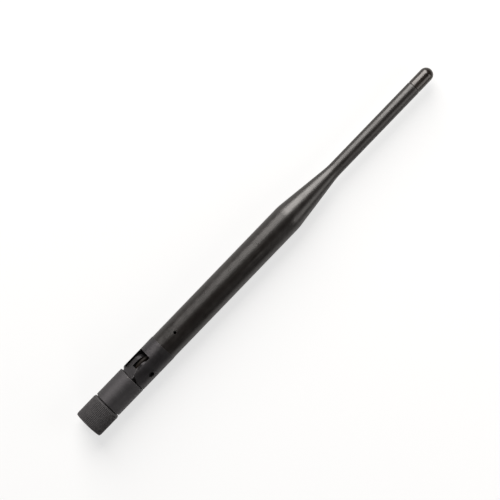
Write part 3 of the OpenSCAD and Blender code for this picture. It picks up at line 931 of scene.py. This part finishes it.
class ANTENNA_OT_tip_cap(bpy.types.Operator):
    """Domed cap with its plug"""
    bl_idname = "antenna.tip_cap"
    bl_label = "Tip cap"

    def execute(self, context):
        sizes = context.scene.antenna_mast
        radius, low, high = box_sizes("tip_cap")
        seat = top("radome")
        plug = sizes.whip - sizes.wall - 0.03 * MM
        outline = [(plug, low), (plug, seat), (sizes.whip - sizes.groove, seat)]
        outline += arc((radius - sizes.groove, seat + 2 * sizes.groove), sizes.groove, -75, 0, 5)
        outline += arc((0, high - radius), radius, 0, 90, 18)[:-1] + [(0, high)]
        piece = close_end(turned("tip_cap_dome", outline, sides=96), low)
        finish_piece(piece, "mast", MATERIALS["cap_plastic"], "cap_plastic", "tip_cap")
        return {"FINISHED"}


# ---- studio ----

TABLE_GLOW = 0.68
AMBIENT = 0.03
LAMP_TINT = (1.0, 0.975, 0.945)
# name, degrees from the camera to its right, share upwards, aim above the middle, distance, width,
# height and watts
LAMPS = (
    ("key_lamp", -50, 0.45, 0.0, 1.1, 1.1, 0.8, 35.5),
    ("tip_lamp", 57, 0.36, 0.085, 0.45, 0.28, 0.30, 0.95),
    ("fill_lamp", 75, -0.9, 0.0, 1.4, 0.6, 0.6, 8),
    ("back_lamp", 152, 0.3, 0.0, 1.1, 0.7, 0.9, 16),
)


def side_of(studio):
    """Unit vectors towards the camera and to its right, with the antenna upright."""
    a = studio.azimuth
    return Vector((math.sin(a), -math.cos(a), 0)), Vector((math.cos(a), math.sin(a), 0))


def softbox(name, aim, direction, distance, width, height, power):
    """A rectangular lamp that faces the antenna from a direction, its height along the antenna."""
    lamp = bpy.data.lights.new(name, "AREA")
    lamp.shape = "RECTANGLE"
    lamp.size, lamp.size_y, lamp.energy = width, height, power
    lamp.color = LAMP_TINT
    holder = bpy.data.objects.new(name, lamp)
    bpy.context.scene.collection.objects.link(holder)
    direction = direction.normalized()
    across = Vector((0, 0, 1)).cross(direction).normalized()
    turn = Matrix((across, direction.cross(across), direction)).transposed()
    holder.matrix_world = Matrix.Translation(aim + direction * distance) @ turn.to_4x4()
    holder.visible_camera = False
    return holder


def table_material():
    """White table, well exposed in the antenna's shadow, clear from below and to lamps behind it."""
    material, tree, shader = new_material("table_white", Roughness=0.9)
    shader.inputs["Specular IOR Level"].default_value = 0.1
    shader.inputs["Emission Color"].default_value = (1, 1, 1, 1)
    path = add_node(tree, "ShaderNodeLightPath")
    seen = path.outputs["Is Camera Ray"]
    tree.links.new(mix_colour(tree, seen, (0.5, 0.5, 0.5), (0.2, 0.2, 0.2)), shader.inputs["Base Color"])
    tree.links.new(spread(tree, seen, 0.0, 1.0, 0.0, TABLE_GLOW), shader.inputs["Emission Strength"])
    below = add_node(tree, "ShaderNodeNewGeometry").outputs["Backfacing"]
    behind = math_node(tree, "MAXIMUM", below, path.outputs["Is Shadow Ray"])
    clear = add_node(tree, "ShaderNodeBsdfTransparent")
    mixed = add_node(tree, "ShaderNodeMixShader", {0: behind, 1: shader.outputs[0], 2: clear.outputs[0]})
    tree.links.new(mixed.outputs[0], tree.nodes["Material Output"].inputs["Surface"])
    return material


class ANTENNA_OT_studio(bpy.types.Operator):
    """White table behind the antenna, soft lamps and the camera"""
    bl_idname = "antenna.studio"
    bl_label = "Studio"

    def execute(self, context):
        studio = context.scene.antenna_studio
        towards, right = side_of(studio)
        aim = right * studio.aim_side + Vector((0, 0, studio.aim_height))
        self.camera(context, studio, towards, right, aim)
        self.table(studio, towards, aim)
        self.lamps(towards, right, aim)
        self.surroundings(context)
        return {"FINISHED"}

    def camera(self, context, studio, towards, right, aim):
        eye = bpy.data.cameras.new("camera")
        eye.lens = studio.lens
        holder = bpy.data.objects.new("camera", eye)
        context.scene.collection.objects.link(holder)
        rise = Vector((0, 0, 1))
        lean = studio.lean
        picture_right = math.sin(lean) * rise + math.cos(lean) * right
        picture_up = math.cos(lean) * rise - math.sin(lean) * right
        turn = Matrix((picture_right, picture_up, towards)).transposed()
        distance = studio.lens / eye.sensor_width * studio.span
        holder.matrix_world = Matrix.Translation(aim + towards * distance) @ turn.to_4x4()
        eye.clip_start, eye.clip_end = distance / 100, distance * 100
        context.scene.camera = holder

    def table(self, studio, towards, aim):
        behind = max(cad_box[1].x, cad_box[1].y) + studio.table_gap
        deselect_all()
        bpy.ops.mesh.primitive_plane_add(
            size=3.0, location=aim - towards * behind,
            rotation=towards.to_track_quat("Z", "Y").to_euler())
        table = settle(bpy.context.object, "table")
        table.data.materials.append(table_material())

    def lamps(self, towards, right, aim):
        """Key lamp, a narrow one from the tip's side, a weak fill, and one for the back."""
        rise = Vector((0, 0, 1))
        for name, turn, lift, raised, *rest in LAMPS:
            angle = math.radians(turn)
            direction = towards * math.cos(angle) + right * math.sin(angle) + rise * lift
            softbox(name, aim + rise * raised, direction, *rest)

    def surroundings(self, context):
        """White for the camera, and dim grey for what lights and mirrors in the antenna."""
        world = bpy.data.worlds.new("studio")
        context.scene.world = world
        world.use_nodes = True
        tree = world.node_tree
        seen = add_node(tree, "ShaderNodeLightPath").outputs["Is Camera Ray"]
        level = spread(tree, seen, 0.0, 1.0, AMBIENT, 1.0)
        back = tree.nodes["Background"]
        back.inputs["Color"].default_value = (1, 1, 1, 1)
        tree.links.new(level, back.inputs["Strength"])
        context.scene.view_settings.view_transform = "Standard"


# ---- sidebar ----

STEPS = (
    ANTENNA_OT_finishes, ANTENNA_OT_grip_sleeve, ANTENNA_OT_coupling_nut, ANTENNA_OT_base_housing,
    ANTENNA_OT_hinge_tongue, ANTENNA_OT_feed_cable, ANTENNA_OT_hinge_barrel, ANTENNA_OT_radome,
    ANTENNA_OT_tip_cap, ANTENNA_OT_studio)
SETTINGS = {
    "antenna_grip": GripSizes, "antenna_hinge": HingeSizes, "antenna_mast": MastSizes,
    "antenna_finishes": Finishes, "antenna_studio": Studio}


class ANTENNA_PT_build(bpy.types.Panel):
    """Steps and settings of the whip antenna"""
    bl_label = "Whip antenna"
    bl_idname = "ANTENNA_PT_build"
    bl_space_type = "VIEW_3D"
    bl_region_type = "UI"
    bl_category = "Antenna"

    def draw(self, context):
        for name, settings in SETTINGS.items():
            group = self.layout.box()
            group.label(text=settings.__doc__)
            for key in settings.__annotations__:
                group.prop(getattr(context.scene, name), key)
        for step in STEPS:
            self.layout.operator(step.bl_idname)


def register():
    for made in (*SETTINGS.values(), *STEPS, ANTENNA_PT_build):
        bpy.utils.register_class(made)
    for name, settings in SETTINGS.items():
        setattr(bpy.types.Scene, name, bpy.props.PointerProperty(type=settings))


def unregister():
    for name in SETTINGS:
        delattr(bpy.types.Scene, name)
    for made in (ANTENNA_PT_build, *reversed(STEPS), *SETTINGS.values()):
        bpy.utils.unregister_class(made)


def main():
    register()
    for step in STEPS:
        family, action = step.bl_idname.split(".")
        getattr(getattr(bpy.ops, family), action)()
    deselect_all()


if __name__ == "__main__":
    main()
